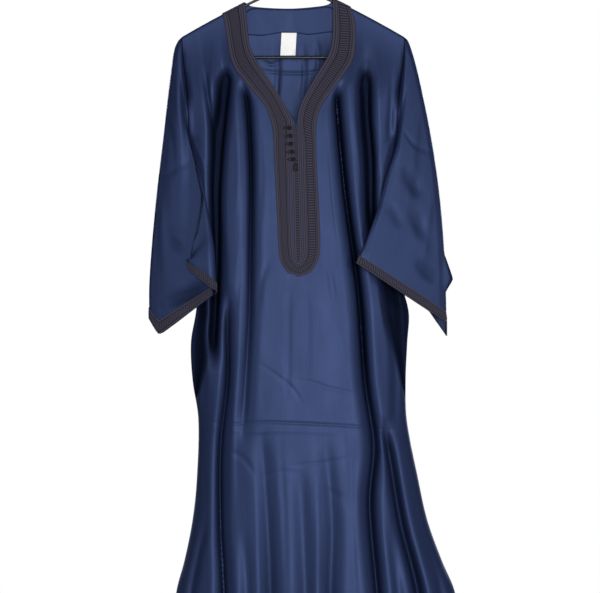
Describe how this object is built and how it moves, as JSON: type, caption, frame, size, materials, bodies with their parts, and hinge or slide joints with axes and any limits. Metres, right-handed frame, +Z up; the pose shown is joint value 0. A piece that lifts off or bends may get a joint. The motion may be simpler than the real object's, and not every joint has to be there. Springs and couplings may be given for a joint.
{
  "type": "gandoura on a hanger",
  "caption": "Long loose navy satin robe with a braided V neck, short knot-buttoned slit and wide braid-edged sleeves, hanging on a slim black hanger.",
  "frame": {"origin": "highest point inside the hanger's hook, where a rail carries it", "axes": "+Z up along the length of the robe, -Y out of its front, +X to the viewer's right; the hanger lies in the XZ plane"},
  "size_m": [0.6304, 0.2151, 1.5043],
  "materials": {
    "satin": "satin weave, soft sheen",
    "braid": "matt corded braid",
    "label": "plain woven tape",
    "hanger": "smooth"
  },
  "bodies": {
    "root": {"front": "satin", "back": "satin", "sleeve_left": "satin", "sleeve_right": "satin", "neck_facing": "satin", "braid_left": "braid", "braid_right": "braid", "placket": "braid", "braid_back": "braid", "cuff_braid_left": "braid", "cuff_braid_right": "braid", "button_1": "braid", "button_2": "braid", "button_3": "braid", "button_4": "braid", "button_5": "braid", "button_loop": "braid", "label": "label", "hanger_arm_left": "hanger", "hanger_arm_right": "hanger", "hanger_bar": "hanger", "hanger_hook": "hanger"}
  },
  "joints": []
}
